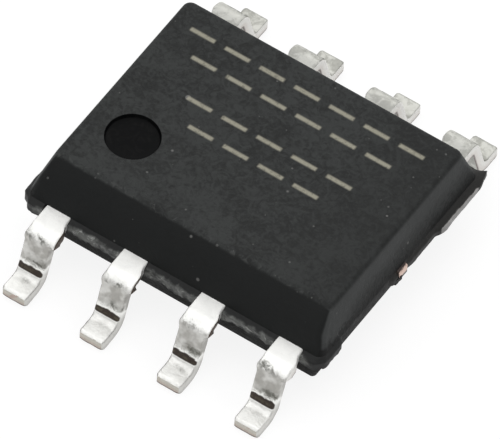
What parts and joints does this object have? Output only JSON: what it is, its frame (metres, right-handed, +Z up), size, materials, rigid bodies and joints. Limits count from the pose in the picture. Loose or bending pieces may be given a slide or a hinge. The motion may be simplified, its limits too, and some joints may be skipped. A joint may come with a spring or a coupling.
{
  "type": "small-outline integrated circuit",
  "caption": "Small-outline surface-mount chip: black moulded body with a bevelled front edge, an index recess and gull-wing leads along both sides.",
  "frame": {"origin": "middle of the package on the plane of the board, under the body", "axes": "+X along the lead rows from lead 1 towards lead 4, +Y from the front row (leads 1 to 4) to the rear row, +Z up from the board"},
  "size_m": [0.005, 0.006, 0.0015],
  "materials": {
    "mould_compound": "matt black epoxy moulding compound, fine spark-eroded grain",
    "tin_plate": "matt tin over copper alloy, scuffed at the bends",
    "copper_alloy": "bare copper alloy sheet, sheared ends",
    "silver_epoxy": "silver-filled epoxy",
    "silicon": "polished silicon",
    "gold_wire": "drawn gold wire"
  },
  "bodies": {
    "root": {"moulded_body": "mould_compound", "lead_1": "tin_plate", "lead_2": "tin_plate", "lead_3": "tin_plate", "lead_4": "tin_plate", "lead_5": "tin_plate", "lead_6": "tin_plate", "lead_7": "tin_plate", "lead_8": "tin_plate", "die_paddle": "copper_alloy", "die_attach": "silver_epoxy", "silicon_die": "silicon", "bond_wire_1": "gold_wire", "bond_wire_2": "gold_wire", "bond_wire_3": "gold_wire", "bond_wire_4": "gold_wire", "bond_wire_5": "gold_wire", "bond_wire_6": "gold_wire", "bond_wire_7": "gold_wire", "bond_wire_8": "gold_wire"}
  },
  "joints": []
}
